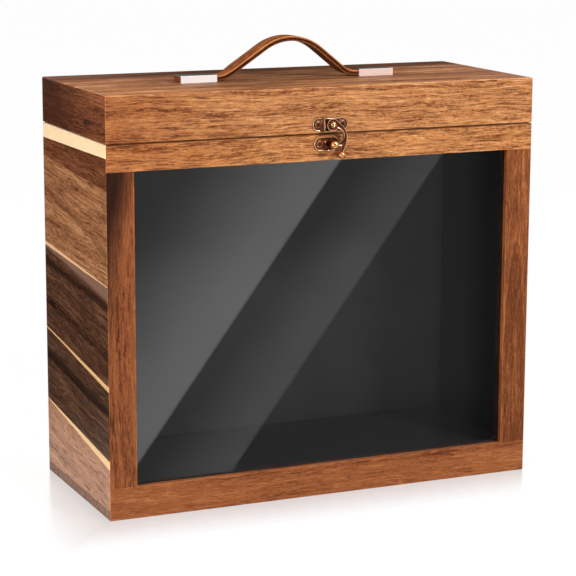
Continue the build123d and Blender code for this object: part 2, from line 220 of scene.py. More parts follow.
def acacia_group():
    """Solid acacia wood in millimetres: the grain runs along X and the pith lies on the X axis."""
    tree = bpy.data.node_groups.new("acacia", "ShaderNodeTree")
    face = tree.interface
    for name, kind in (("Position", "Vector"), ("Seed", "Float"), ("Ring", "Float"), ("Contrast", "Float"),
                       ("Pores", "Float"), ("Dark", "Color"), ("Middle", "Color"), ("Light", "Color")):
        face.new_socket(name=name, in_out="INPUT", socket_type="NodeSocket" + kind)
    for name, kind in (("Colour", "Color"), ("Roughness", "Float"), ("Height", "Float"), ("Tone", "Float")):
        face.new_socket(name=name, in_out="OUTPUT", socket_type="NodeSocket" + kind)
    s = Shade(tree)
    given = tree.nodes.new("NodeGroupInput")
    taken = {socket.name: socket for socket in given.outputs}
    seed = taken["Seed"]
    place = s.shift(taken["Position"], s.vector(s.times(seed, 37.0), 0.0, 0.0))

    def drift(long, wide, reach, detail):
        """A vector that wanders over a reach in mm, in waves so many mm long and wide."""
        cloud = s.noise(s.stretch(place, 1 / long, 1 / wide, 1 / wide), detail=detail)
        way = s.shift(cloud.outputs[1], (-0.5, -0.5, -0.5))
        return s.node("VectorMath", {0: way, "Scale": reach}, operation="SCALE").outputs[0]

    wander = drift(170, 46, 16.0, detail=2.0)
    quiver = drift(60, 16, 4.0, detail=1.0)
    bent = s.shift(s.shift(place, wander), quiver)
    along, across, deep = s.split(bent)

    radius = s.math("SQRT", s.add(s.times(across, across), s.times(deep, deep)))
    ring = s.math("DIVIDE", radius, taken["Ring"])
    rings = s.grain(s.vector(ring, s.times(along, 1 / 700), seed), detail=5.0, roughness=0.66)
    patch = s.marks(bent, 60, 15, 15, detail=2.0)
    strand = s.marks(bent, 64, 2.8, 2.8, detail=3.0, roughness=0.6)
    fibre = s.marks(bent, 13, 1.05, 1.05, detail=4.0, roughness=0.7)
    fleck = s.marks(bent, 3.0, 1.1, 1.1, detail=2.0)
    broad = s.add(s.times(rings, 0.34), s.times(patch, 0.12))
    narrow = s.add(s.times(strand, 0.20), s.add(s.times(fibre, 0.28), s.times(fleck, 0.16)))
    tone = s.add(s.times(s.less(s.add(broad, narrow), 0.55), taken["Contrast"]), 0.5)
    low = s.mix(s.step(tone, -0.1, 0.5), taken["Dark"], taken["Middle"])
    wood = s.mix(s.step(tone, 0.5, 1.05), low, taken["Light"])

    belts = s.step(rings, 0.38, 0.62, 1.0, 0.3)
    dash = s.marks(bent, 8, 1.0, 1.0, detail=1.0)
    dashes = s.times(s.step(dash, 0.60, 0.70), s.times(belts, 0.8))
    line = s.marks(bent, 26, 1.2, 1.2, detail=2.0)
    lines = s.times(s.step(line, 0.54, 0.66), 0.85)
    cuts = s.larger(dashes, lines)
    pores = s.times(cuts, taken["Pores"])
    glint = s.marks(s.shift(bent, (91.0, 17.0, 5.0)), 12, 1.2, 1.2, detail=1.0)
    glints = s.times(s.step(glint, 0.56, 0.70), 0.4)
    lively = s.mix(glints, wood, s.tint(taken["Light"], (1.12, 1.08, 1.0, 1.0)))
    pored = s.mix(s.times(pores, 0.8), lively, s.tint(lively, (0.24, 0.17, 0.13, 1.0)))

    roughness = s.add(s.add(0.34, s.times(fibre, 0.16)), s.times(pores, 0.2))
    height = s.less(s.times(fibre, 0.5), pores)
    result = tree.nodes.new("NodeGroupOutput")
    for name, value in (("Colour", pored), ("Roughness", roughness), ("Height", height), ("Tone", tone)):
        s.feed(result.inputs[name], value)
    return tree


ACACIA = acacia_group()
SAPWOOD = srgb(252, 219, 173)


def board_axes(grain, lean):
    """A rotation that turns board directions to X along the grain. Lean tips the grain by two angles."""
    if grain == "X":
        turned = Matrix.Identity(3)
    elif grain == "Z":
        turned = Matrix(((0, 0, 1), (0, 1, 0), (-1, 0, 0)))
    else:
        turned = Matrix(((0, 1, 0), (-1, 0, 0), (0, 0, 1)))
    tipped = Matrix.Rotation(math.radians(lean[0]), 3, "Y") @ Matrix.Rotation(math.radians(lean[1]), 3, "Z")
    return tipped @ turned


def acacia(node, grain, tones, seed, pith, ring=7.0, lean=(0, 0), contrast=6.2, pores=1.0, gloss=0.12,
           layers=()):
    """A board's finish, from a dark, a middle and a light tone as display colours.

    Pith is where the log's centre lies from the board's middle, in mm, across and deep. A layer is a
    function of the shade, the place in mm, the colour below it and the wood's tone, and gives a colour.
    """
    material, s = new_material("acacia_" + node)
    dark, middle, light = [srgb(*tone) for tone in tones]
    low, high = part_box(node)
    centre = (low + high) / 2 / MM
    axes = board_axes(grain, lean)
    place = s.place()
    mapping = s.node("Mapping", {"Vector": place})
    mapping.inputs["Scale"].default_value = (1 / MM,) * 3
    mapping.inputs["Rotation"].default_value = axes.to_euler("XYZ")
    mapping.inputs["Location"].default_value = Vector((0, *pith)) - axes @ centre
    inputs = {"Position": mapping.outputs[0], "Seed": seed, "Ring": ring, "Contrast": contrast,
              "Pores": pores, "Dark": dark, "Middle": middle, "Light": light}
    wood = s.node("Group", inputs, node_tree=ACACIA)
    colour = wood.outputs["Colour"]
    for layer in layers:
        colour = layer(s, s.place_in_mm(), colour, wood.outputs["Tone"])
    colour = worn_and_highlit_edges(s, place, colour)
    surface(s, Base_Color=colour, Roughness=wood.outputs["Roughness"], Specular_IOR_Level=gloss,
            Normal=s.bump(wood.outputs["Height"], 0.15 * MM, 0.6))
    give(material, node)


def worn_and_highlit_edges(s, place, colour):
    """The lacquer is painted a little lighter on the outer corners, the top's edges and the window's edges:
    partly wear, partly painted highlight on the rounded edges.
    """
    x, y, z = s.split(place)

    def at_face(away, limit):
        """1 at an outer face, and 0 from about 1 mm inside it."""
        return s.step(away, limit - 1.1 * MM, limit - 0.3 * MM)

    def by_line(away):
        return s.step(s.unsigned(away), 0.3 * MM, 0.9 * MM, 1.0, 0.0)

    end = at_face(s.unsigned(x), half_width)
    face = at_face(s.unsigned(y), half_depth)
    top = at_face(z, top_z)
    corners = s.larger(s.times(end, face), s.larger(s.times(end, top), s.times(face, top)))
    across = s.less(s.unsigned(x), window_side)
    beside = by_line(s.less(across, 0.2 * MM))
    under = by_line(s.add(s.less(z, window_foot), 0.2 * MM))
    in_height = s.times(s.step(z, window_foot - 1 * MM, window_foot),
                        s.step(z, window_head, window_head + 1 * MM, 1.0, 0.0))
    in_width = s.step(across, 0.0, 1 * MM, 1.0, 0.0)
    lines = s.larger(s.times(beside, in_height), s.times(under, in_width))
    front = at_face(s.times(y, -1.0), half_depth)
    rims = s.larger(corners, s.times(front, lines))
    # Painted highlight and wear: the rims are painted lighter.
    return s.mix(s.times(rims, 0.45), colour, s.tint(colour, grey(1.9)))


def edge_band(heights, widths, colour, soft=0.8, strength=1.0, waver=1.6):
    """A band under a slanting line on a side wall, with heights and widths at the front and the back."""
    def layer(s, place, below, tone):
        y, z = s.split(place)[1:]
        share = s.math("DIVIDE", s.add(y, half_depth / MM), 2 * half_depth / MM)
        line = s.add(s.times(share, heights[1] - heights[0]), heights[0])
        depth = s.less(line, z)
        rough = s.marks(place, 20, 55, 9, detail=3.0)
        straight = s.add(s.times(share, widths[1] - widths[0]), widths[0])
        width = s.add(straight, s.sway(rough, waver))
        inside = s.less(1.0, s.step(s.less(depth, width), -soft, soft))
        on = s.times(inside, s.step(depth, -soft * 1.5, 0.0))
        pale = s.mix(s.sway(tone, 0.5), colour, grey(0.45), "MULTIPLY")
        return s.mix(s.times(on, strength), below, pale)
    return layer


def streak(height, slope, width, colour, strength):
    """A dark streak along the grain of a side wall, through a height at the wall's middle."""
    waver = 9.0

    def layer(s, place, below, tone):
        y, z = s.split(place)[1:]
        rough = s.marks(place, 30, 70, 14, detail=3.0)
        away = s.add(s.less(z, s.add(s.times(y, slope), height)), s.sway(rough, waver))
        on = s.less(1.0, s.step(s.unsigned(away), width * 0.15, width * 0.5))
        return s.mix(s.times(on, strength), below, colour)
    return layer


def stave_line(upper, lower, rises):
    """The glue line between two staves of a side wall: its height at the front and at the back, in mm."""
    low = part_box(upper)[0].z / MM
    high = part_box(lower)[1].z / MM
    return (low, high) if rises else (high, low)


def slope_of(line):
    front, back = line
    return (back - front) / (2 * half_depth / MM)


def lean_of(line):
    return math.degrees(math.atan(slope_of(line)))


def left_side():
    names = [f"side_left_stave_{n}" for n in range(1, 6)]
    lines = [stave_line(a, b, True) for a, b in zip(names, names[1:])]
    slopes = [slope_of(line) for line in lines]
    leans = [lean_of(line) for line in lines]
    top = seam_z / MM
    acacia(names[0], "Y", ((62, 28, 14), (102, 56, 32), (138, 84, 52)), seed=3.1, pith=(34, 60), ring=9,
           lean=(leans[0], 0),
           layers=[edge_band((top, top), (11.0, 12.8), SAPWOOD, soft=0.25, waver=0.4)])
    acacia(names[1], "Y", ((96, 54, 32), (148, 96, 62), (184, 132, 90)), seed=7.7, pith=(55, 90), ring=8,
           lean=(leans[1], 0), layers=[streak(246, 0.22, 9, srgb(96, 52, 30), 0.5)])
    acacia(names[2], "Y", ((34, 19, 12), (76, 47, 32), (118, 80, 56)), seed=12.3, pith=(60, 120), ring=6,
           lean=(leans[2], 0), contrast=5.6,
           layers=[edge_band(lines[1], (12.0, 5.0), srgb(142, 106, 88), soft=2.4, strength=0.75, waver=4.0),
                   streak(190, slopes[1], 12, srgb(40, 22, 14), 0.8),
                   edge_band(lines[1], (0.8, 3.4), srgb(238, 190, 140), soft=0.5, strength=0.9)])
    acacia(names[3], "Y", ((36, 21, 14), (80, 52, 37), (118, 84, 61)), seed=18.9, pith=(40, 80),
           lean=(leans[3], 0), contrast=5.4,
           layers=[edge_band(lines[2], (4.6, 0.9), srgb(232, 184, 128)),
                   streak(103, slopes[2], 16, srgb(32, 19, 14), 0.85)])
    acacia(names[4], "Y", ((118, 76, 54), (180, 132, 104), (210, 164, 132)), seed=25.3, pith=(70, 90),
           lean=(leans[3], 0), contrast=4.2,
           layers=[edge_band(lines[3], (7.5, 0.6), srgb(244, 205, 150))])


def right_side():
    palettes = [
        ((92, 46, 24), (146, 88, 52), (184, 126, 80)),
        ((60, 34, 21), (104, 66, 43), (140, 98, 66)),
        ((110, 62, 36), (160, 104, 64), (196, 142, 94)),
        ((74, 42, 27), (122, 78, 51), (156, 110, 76)),
        ((96, 58, 38), (146, 98, 66), (178, 132, 94)),
    ]
    bands = {2: (0.6, 4.0), 4: (5.0, 1.2)}
    names = [f"side_right_stave_{n}" for n in range(1, 6)]
    rises = [False, True, False, True]
    lines = [stave_line(a, b, up) for a, b, up in zip(names, names[1:], rises)]
    for number, (name, colours) in enumerate(zip(names, palettes)):
        layers = []
        lean = 0.0
        if number:
            line = lines[number - 1]
            lean = lean_of(line)
            if number in bands:
                layers.append(edge_band(line, bands[number], SAPWOOD))
        acacia(name, "Y", colours, seed=31.0 + 5 * number, pith=(50 + 9 * number, 70), lean=(lean, 0),
               layers=layers)


def back_side():
    palettes = [
        ((104, 58, 32), (158, 100, 60), (194, 138, 88)),
        ((84, 46, 28), (134, 84, 52), (168, 116, 76)),
        ((112, 66, 40), (166, 112, 70), (200, 148, 100)),
        ((64, 37, 24), (112, 71, 47), (148, 103, 69)),
        ((96, 54, 32), (150, 96, 60), (186, 132, 88)),
    ]
    for number, colours in enumerate(palettes, 1):
        acacia(f"back_stave_{number}", "X", colours, seed=60.0 + 4 * number, pith=(46 + 6 * number, 40),
               ring=8, lean=(0, 0.6 * (-1) ** number))


def front_frame():
    acacia("front_top_rail", "X", ((124, 66, 32), (192, 128, 76), (224, 166, 106)), seed=81.0, pith=(36, 44),
           ring=6.5, lean=(0.5, 0), layers=[redder_left, painted_seam_shadow])
    acacia("front_bottom_rail", "X", ((98, 47, 22), (151, 88, 49), (186, 122, 74)), seed=85.0, pith=(60, 30),
           ring=8, contrast=4.6, pores=0.4)
    acacia("front_stile_left", "Z", ((72, 32, 15), (138, 78, 43), (172, 106, 62)), seed=89.0, pith=(20, 40),
           lean=(0, 0.8), contrast=4.8, pores=0.35, layers=[dark_top_left])
    acacia("front_stile_right", "Z", ((75, 34, 16), (125, 69, 37), (173, 109, 63)), seed=93.0, pith=(12, 30),
           lean=(1.2, 0.8), contrast=5.4, pores=0.38, layers=[dark_arch])


def redder_left(s, place, below, tone):
    """The front boards of the lid and rail are redder and darker at their left end."""
    x = s.split(place)[0]
    rough = s.marks(place, 90, 30, 30, detail=2.0)
    along = s.add(x, s.sway(rough, 160.0))
    red = s.tint(below, (0.74, 0.60, 0.52, 1.0))
    return s.mix(s.step(along, -200.0, -40.0), red, below)


def painted_seam_shadow(s, place, below, tone):
    """The front edges beside the seam between lid and box are painted dark: painted shadow of the gap between
    them.
    """
    y, z = s.split(place)[1:]
    away = s.unsigned(s.less(z, seam_z / MM))
    front = s.step(s.times(y, -1.0), half_depth / MM - 0.8, half_depth / MM - 0.3)
    # Painted shadow along the seam between lid and box.
    return s.mix(s.times(front, s.step(away, 0.3, 0.75, 0.88, 0.0)), below, srgb(34, 17, 9))


def dark_arch(s, place, below, tone):
    """An arch of darker heartwood with a pale rim, which rises in the right stile."""
    x, _, z = s.split(place)
    middle = 187.0
    crown = 212.0
    rough = s.marks(place, 10, 10, 34, detail=3.0)
    across = s.less(x, middle)
    curve = s.add(s.times(s.times(across, across), 0.75), s.sway(rough, 44.0))
    above = s.add(s.less(z, crown), curve)
    inside = s.tint(below, (0.76, 0.70, 0.66, 1.0))
    pale = s.tint(below, (1.34, 1.36, 1.34, 1.0))
    rim = s.times(s.step(above, -4.0, 4.0), s.step(above, 8.0, 34.0, 1.0, 0.25))
    return s.mix(rim, s.mix(s.step(above, -6.0, 3.0), inside, below), pale)


def dark_top_left(s, place, below, tone):
    """The left stile darkens towards its upper outer corner, where heartwood crosses it."""
    x, _, z = s.split(place)
    rough = s.marks(place, 12, 12, 70, detail=3.0)
    from_top = s.less(seam_z / MM, z)
    from_left = s.add(x, half_width / MM)
    reach = s.add(s.add(s.times(from_top, 1 / 150), s.times(from_left, 1 / 26)), s.times(rough, 0.5))
    on = s.less(1.0, s.step(reach, 0.75, 1.65))
    return s.mix(s.times(on, 0.95), below, srgb(34, 15, 8))


def lid():
    acacia("lid_front", "X", ((118, 62, 31), (185, 123, 75), (220, 162, 106)), seed=101.0, pith=(30, 36),
           ring=6.5, lean=(-0.6, 0.5), layers=[redder_left, painted_seam_shadow])
    acacia("lid_back", "X", ((98, 54, 30), (152, 96, 58), (188, 132, 84)), seed=105.0, pith=(50, 40), ring=8)
    acacia("lid_left", "Y", ((60, 28, 14), (116, 64, 38), (152, 92, 54)), seed=109.0, pith=(30, 60), ring=8,
           lean=(1.0, 0), layers=[painted_shade_towards_back])
    acacia("lid_right", "Y", ((88, 46, 26), (140, 86, 52), (176, 122, 78)), seed=113.0, pith=(30, 60), ring=8)
    palettes = [
        ((96, 50, 27), (184, 122, 78), (242, 194, 146)),
        ((82, 42, 23), (158, 101, 64), (220, 166, 118)),
        ((76, 39, 21), (148, 92, 58), (208, 154, 108)),
    ]
    for number, colours in enumerate(palettes, 1):
        acacia(f"lid_top_stave_{number}", "X", colours, seed=120.0 + 5 * number, pith=(8 * number, 34),
               ring=5.5, lean=(0, 0.5), contrast=5.2, pores=0.6, gloss=0.07, layers=[stripes_and_painted_light])


def stripes_and_painted_light(s, place, below, tone):
    """Broad stripes along the lid's top, which is painted paler at both ends, most at the left, and darker
    behind: painted light and shade.
    """
    x, y = s.split(place)[:2]
    wave = s.marks(place, 260, 17, 17, detail=3.0, roughness=0.6)
    darker = s.tint(below, (0.66, 0.62, 0.60, 1.0))
    lighter = s.tint(below, (1.20, 1.18, 1.18, 1.0))
    striped = s.mix(s.step(wave, 0.42, 0.62), darker, lighter)
    # Painted light: paler towards both ends.
    at_ends = s.step(s.unsigned(x), 60.0, 170.0, 0.0, 0.8)
    ends = s.mix(at_ends, striped, s.tint(striped, (1.35, 1.30, 1.26, 1.0)))
    # Painted light: paler still towards the left end.
    at_left = s.step(x, -170.0, -60.0, 0.8, 0.0)
    left = s.mix(at_left, ends, s.tint(ends, (1.34, 1.38, 1.36, 1.0)))
    # Painted shade: darker towards the back.
    behind = s.step(y, 10.0, 70.0, 0.0, 0.95)
    return s.mix(behind, left, s.tint(left, (0.40, 0.36, 0.34, 1.0)))


def painted_shade_towards_back(s, place, below, tone):
    """The lid's left board is painted darker towards the back: painted shade."""
    # Painted shade towards the back of the side.
    on = s.step(s.split(place)[1], -70.0, 60.0)
    return s.mix(s.times(on, 0.75), below, srgb(46, 20, 10))


def wooden_boards():
    left_side()
    right_side()
    back_side()
    front_frame()
    lid()
    acacia("bottom_board", "X", ((90, 60, 45), (134, 97, 77), (170, 132, 108)), seed=140.0, pith=(6, 24),
           ring=5, contrast=5.4)


# Other finishes


def black_paint():
    material, s = new_material("black_paint")
    place = s.place_in_mm()
    speck = s.grain(place, detail=3.0, scale=0.7)
    surface(s, Base_Color=s.mix(speck, grey(0.006), grey(0.012)), Roughness=s.step(speck, 0.2, 0.8, 0.6, 0.8),
            Specular_IOR_Level=0.05, Normal=s.bump(speck, 0.05 * MM, 0.4))
    return material


def black_velvet(name, dark, light):
    """Short black pile: faintly clouded where the nap lies one way or the other, with a soft sheen."""
    material, s = new_material(name)
    place = s.place_in_mm()
    cloud = s.marks(place, 40, 40, 30, detail=3.0, roughness=0.55)
    nap = s.marks(place, 1.6, 1.6, 1.6, detail=2.0, roughness=0.6)
    lay = s.add(s.add(s.sway(cloud, 1.2), s.sway(nap, 0.5)), 0.5)
    colour = s.mix(s.step(lay, 0.1, 0.9), grey(dark), grey(light))
    surface(s, Base_Color=colour, Roughness=s.step(nap, 0.2, 0.8, 0.85, 1.0), Specular_IOR_Level=0.03,
            Sheen_Weight=0.014, Sheen_Roughness=0.5, Sheen_Tint=(0.9, 0.9, 0.92, 1.0),
            Normal=s.bump(nap, 0.02 * MM, 0.1))
    return material


def window_glass():
    """Clear glass that lets the light through to what is behind it."""
    material, s = new_material("window_glass")
    glass = s.shader("BsdfPrincipled", Base_Color=(0.97, 0.985, 0.98, 1.0), Roughness=0.0, IOR=1.5,
                     Transmission_Weight=1.0)
    clear = s.shader("BsdfTransparent", Color=grey(0.93))
    path = s.node("LightPath")
    open_to = s.larger(path.outputs["Is Shadow Ray"], path.outputs["Is Diffuse Ray"])
    show(s, s.blend(open_to, glass, clear))
    return material


def antique_copper():
    """Copper plate, dark in the hollows and rubbed back to metal where the attribute rub is high."""
    material, s = new_material("antique_copper")
    place = s.place_in_mm()
    cloud = s.grain(s.stretch(place, 0.5, 0.5, 0.5), detail=4.0, roughness=0.65)
    rub = s.node("Attribute", attribute_name="rub").outputs["Fac"]
    worn = s.step(s.add(rub, s.sway(cloud, 1.1)), 0.15, 0.85)
    colour = s.mix(worn, srgb(106, 54, 28), srgb(252, 206, 162))
    surface(s, Base_Color=colour, Metallic=0.78, Roughness=s.step(worn, 0.0, 1.0, 0.42, 0.28),
            Normal=s.bump(cloud, 0.05 * MM, 0.4))
    return material


def bright_copper(dark_from):
    """Polished copper, left dark brown behind a given distance from the box's middle."""
    material, s = new_material("bright_copper")
    place = s.place()
    cloud = s.grain(s.stretch(place, 0.4 / MM, 0.4 / MM, 0.4 / MM), detail=3.0, roughness=0.6)
    forward = s.step(s.times(s.split(place)[1], -1.0), dark_from, dark_from + 0.8 * MM)
    polished = s.mix(s.step(cloud, 0.3, 0.7), srgb(214, 138, 86), srgb(240, 176, 124))
    colour = s.mix(forward, srgb(86, 44, 24), polished)
    surface(s, Base_Color=colour, Metallic=0.9, Roughness=s.step(cloud, 0.3, 0.7, 0.14, 0.22),
            Normal=s.bump(cloud, 0.02 * MM, 0.3))
    return material


def chrome():
    """Chrome whose front faces are painted near white and less metallic, the right block's pinker, as a
    painted reflection of the pale floor, and whose left end is painted brown, a painted reflection of the
    wood.
    """
    material, s = new_material("chrome")
    place = s.place_in_mm()
    smear = s.grain(s.stretch(place, 0.12, 0.2, 0.3), detail=4.0, roughness=0.7)
    across, back = s.split(s.node("TexCoord").outputs["Normal"])[:2]
    x = s.split(place)[0]
    front = s.step(s.times(back, -1.0), 0.5, 0.8)
    # Painted reflections: the front faces are painted near white, the right block's pinker, and the left end
    # brown.
    left_end = s.step(s.times(across, -1.0), 0.5, 0.8)
    painted_front_reflection = s.mix(s.step(x, -30.0, 30.0), srgb(252, 248, 246), srgb(240, 218, 206))
    bright = s.mix(smear, srgb(240, 238, 238), srgb(250, 248, 248))
    colour = s.mix(left_end, s.mix(front, bright, painted_front_reflection), srgb(172, 108, 74))
    metallic = s.less(1.0, s.times(front, s.step(x, -30.0, 30.0, 0.85, 0.7)))
    surface(s, Base_Color=colour, Metallic=metallic, Roughness=s.step(smear, 0.3, 0.8, 0.04, 0.09),
            Normal=s.bump(smear, 0.02 * MM, 0.2))
    return material


def steel():
    material, s = new_material("zinc_steel")
    place = s.place_in_mm()
    spangle = s.grain(place, detail=3.0, scale=0.9)
    surface(s, Base_Color=s.mix(spangle, grey(0.42), grey(0.6)), Metallic=1.0,
            Roughness=s.step(spangle, 0.2, 0.8, 0.28, 0.42))
    return material


def leather(name, dark, light, edge):
    """Smooth leather with lighter rubbed edges, which the pieces carry as the attribute rub."""
    material, s = new_material(name)
    place = s.place_in_mm()
    cloud = s.marks(place, 9, 9, 9, detail=4.0, roughness=0.6)
    cell = s.node("TexVoronoi", {"Vector": place, "Scale": 1.6}, feature="DISTANCE_TO_EDGE").outputs[0]
    pebble = s.step(cell, 0.0, 0.12)
    rub = s.node("Attribute", attribute_name="rub").outputs["Fac"]
    body = s.mix(s.step(cloud, 0.3, 0.7), dark, light)
    creased = s.mix(s.times(s.less(1.0, pebble), 0.25), body, s.tint(body, grey(0.4)))
    lighter = s.mix(s.step(rub, 0.05, 1.0), creased, edge)
    colour = s.mix(s.step(s.times(rub, -1.0), 0.05, 0.8), lighter, srgb(34, 16, 9))
    surface(s, Base_Color=colour, Roughness=s.step(cloud, 0.3, 0.7, 0.42, 0.55), Specular_IOR_Level=0.08,
            Normal=s.bump(s.add(s.times(pebble, 0.6), s.times(cloud, 1.2)), 0.10 * MM, 0.5))
    return material


# New pieces


def new_object(name, data):
    made = bpy.data.objects.new(name, data)
    bpy.context.scene.collection.objects.link(made)
    return made


def new_piece(name, mesh, material, body, replaces, sharp_from):
    """A piece from a bmesh on the body that carries it, with edges sharp from an angle in degrees."""
    data = bpy.data.meshes.new(name)
    bmesh.ops.recalc_face_normals(mesh, faces=mesh.faces)
    mesh.to_mesh(data)
    mesh.free()
    data.materials.append(material)
    for polygon in data.polygons:
        polygon.use_smooth = True
    data.set_sharp_from_angle(angle=math.radians(sharp_from))
    piece = new_object(name, data)
    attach(piece, body)
    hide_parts(*replaces)
    return piece


def rounded_box(low, high, radius, cells, crown=(0, 0, 0), ripple=0.0, seed=0.0):
    """A box with round edges whose faces swell by crown, as a mesh of small cells."""
    ripple_length = 0.035
    mesh = bmesh.new()
    size = high - low
    centre = (low + high) / 2
    counts = [max(1, round(size[axis] / cells)) for axis in range(3)]
    corners = {}

    def corner(index):
        if index not in corners:
            share = Vector([index[axis] / counts[axis] * 2 - 1 for axis in range(3)])
            point = Vector([share[axis] * size[axis] / 2 for axis in range(3)])
            core = Vector([max(-size[axis] / 2 + radius, min(size[axis] / 2 - radius, point[axis]))
                           for axis in range(3)])
            out = point - core
            if out.length > 1e-9:
                point = core + out.normalized() * min(radius, out.length)
            for axis in range(3):
                first, second = [share[other] for other in range(3) if other != axis]
                swell = crown[axis] * (1 - first ** 4) * (1 - second ** 4)
                point[axis] += swell * max(-1.0, min(1.0, share[axis]))
            if ripple:
                point += ripple * noise.noise_vector((point + centre) / ripple_length + Vector((seed,) * 3))
            corners[index] = mesh.verts.new(point + centre)
        return corners[index]

    for axis in range(3):
        first, second = [other for other in range(3) if other != axis]
        for side in (0, counts[axis]):
            for a in range(counts[first]):
                for b in range(counts[second]):
                    ring = []
                    for da, db in ((0, 0), (1, 0), (1, 1), (0, 1)):
                        index = [0, 0, 0]
                        index[axis] = side
                        index[first] = a + da
                        index[second] = b + db
                        ring.append(corner(tuple(index)))
                    mesh.faces.new(ring)
    return mesh


def join_rings(mesh, first, second):
    """Faces between two closed loops of as many points."""
    count = len(first)
    for n in range(count):
        after = (n + 1) % count
        mesh.faces.new((first[n], first[after], second[after], second[n]))


def lining():
    """Velvet over foam board on the floor and back, and velvet glued to the sides and under the lid; the
    back's velvet is painted lighter and the sides' darker, as painted light and shade.
    """
    sheet_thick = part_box("lining_left")[1].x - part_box("lining_left")[0].x
    tuck = 2.4 * MM
    velvet = black_velvet("black_velvet", 0.0050, 0.0085)
    # Painted light and shade: a lighter copy of the velvet for the back pad, a darker one for the side walls.
    painted_lit_velvet = black_velvet("black_velvet_painted_lit", 0.022, 0.032)
    painted_shaded_velvet = black_velvet("black_velvet_painted_shade", 0.0030, 0.0048)
    for name, crown in (("floor_pad", (0, 0, 0.0008)), ("back_pad", (0, 0.0008, 0))):
        low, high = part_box(name)
        gap = 0.1 * MM
        inset = Vector((sheet_thick + gap, 0.4 * MM, 0.4 * MM))
        mesh = rounded_box(low + inset, high - inset, 1.4 * MM, 4 * MM, crown, 0.2 * MM, 3.0)
        pile = painted_lit_velvet if name == "back_pad" else velvet
        cover = new_piece(name + "_cover", mesh, pile, "box_body", [name], 60)
    walls = {"left": ["side_left_stave_3"], "right": ["side_right_stave_3"]}
    for side, wall in walls.items():
        low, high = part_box("lining_" + side)
        low = low - Vector((0, 0, tuck))
        high = high + Vector((0, tuck, 0))
        mesh = rounded_box(low, high, 0.6 * MM, 5 * MM, ripple=0.12 * MM, seed=8.0)
        cloth = new_piece("velvet_" + side, mesh, painted_shaded_velvet, "box_body",
                          ["lining_" + side], 60)
    low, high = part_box("lid_lining")
    mesh = rounded_box(low, high, 0.6 * MM, 5 * MM, ripple=0.12 * MM, seed=11.0)
    cloth = new_piece("velvet_lid", mesh, velvet, "lid", ["lid_lining"], 60)


# Strap


def strap_middle():
    """Points along the seam between the strap's two layers, read from where their solids meet."""
    seen = []
    for name in ("strap_outer", "strap_lining"):
        low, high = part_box(name)
        seen.append({(round(v.co.x, 5), round(v.co.z, 5)) for v in nodes[name].data.vertices
                     if abs(v.co.y - high.y) < 1e-6})
    middle_y = (low.y + high.y) / 2
    points = [Vector((x, middle_y, z)) for x, z in sorted(seen[0] & seen[1])]
    kept = [points[0]]
    for point in points[1:]:
        if (point - kept[-1]).length > 0.3 * MM:
            kept.append(point)
    return even_line(kept, 1.5 * MM)


def even_line(points, step):
    """The same line with its points an even step apart, and its bends smoothed."""
    lengths = [0.0]
    for a, b in zip(points, points[1:]):
        lengths.append(lengths[-1] + (b - a).length)
    count = max(2, round(lengths[-1] / step))
    out = []
    at = 0
    for n in range(count + 1):
        want = lengths[-1] * n / count
        while at < len(points) - 2 and lengths[at + 1] < want:
            at += 1
        span = lengths[at + 1] - lengths[at]
        out.append(points[at].lerp(points[at + 1], (want - lengths[at]) / span))
    for _ in range(3):
        out = [out[0]] + [(a + 2 * b + c) / 4 for a, b, c in zip(out, out[1:], out[2:])] + [out[-1]]
    return out


def strap_profile(low, high, half, seam_above):
    """A layer's cross-section, as y, height and rub. The rub is below 0 along the seam, which is darker."""
    radius = 0.7 * MM
    crown = 0.15 * MM
    profile = []
    turns = 4
    for corner_y, corner_h, start in ((1, 1, 0), (-1, 1, 90), (-1, -1, 180), (1, -1, 270)):
        for n in range(turns + 1):
            angle = math.radians(start + 90 * n / turns)
            y = corner_y * (half - radius) + radius * math.cos(angle)
            h = (high - radius if corner_h > 0 else low + radius) + radius * math.sin(angle)
            mid = 1 - abs(2 * n / turns - 1)
            if (corner_h > 0) == seam_above:
                mid = -mid
            profile.append((y, h, mid))
        if corner_y == corner_h:
            for n in range(1, 10):
                share = n / 10
                y = (1 - 2 * share) * (half - radius) * corner_y
                bulge = crown * math.sin(math.pi * share) * corner_h
                profile.append((y, (high if corner_h > 0 else low) + bulge, 0.0))
    return profile


def strap_layer(name, line, low, high, half, seam_above, material, node):
    """One leather layer between two heights over the line, which widens towards the strap's middle."""
    mesh = bmesh.new()
    rub = mesh.verts.layers.float.new("rub")
    profile = strap_profile(low, high, half, seam_above)
    narrow_end = 34 * MM
    taper = 12 * MM
    wider = 2.2 * MM
    rings = []
    for index, point in enumerate(line):
        from_end = min(index, len(line) - 1 - index) * (line[1] - line[0]).length
        share = max(0.0, min(1.0, (from_end - narrow_end) / taper))
        broad = 1 + wider / half * share * share * (3 - 2 * share)
        ahead = line[min(index + 1, len(line) - 1)] - line[max(index - 1, 0)]
        ahead.normalize()
        up = Vector((-ahead.z, 0, ahead.x))
        ring = []
        for y, h, worn in profile:
            vertex = mesh.verts.new(point + up * h + Vector((0, y * broad, 0)))
            vertex[rub] = worn
            ring.append(vertex)
        rings.append(ring)
    for first, second in zip(rings, rings[1:]):
        join_rings(mesh, first, second)
    mesh.faces.new(rings[0])
    mesh.faces.new(rings[-1])
    new_piece(name, mesh, material, "lid", [node], 50)


def strap():
    line = strap_middle()
    low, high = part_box("strap_outer")
    half = (high.y - low.y) / 2
    thick = low.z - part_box("strap_lining")[0].z
    seam = 0.08 * MM
    outer = leather("leather_outer", srgb(130, 68, 32), srgb(178, 104, 55), srgb(236, 160, 98))
    inner = leather("leather_lining", srgb(78, 38, 20), srgb(110, 58, 31), srgb(222, 146, 86))
    strap_layer("strap_top_layer", line, seam, thick, half, False, outer, "strap_outer")
    strap_layer("strap_under_layer", line, -thick, -seam, half, True, inner, "strap_lining")


# Fasteners


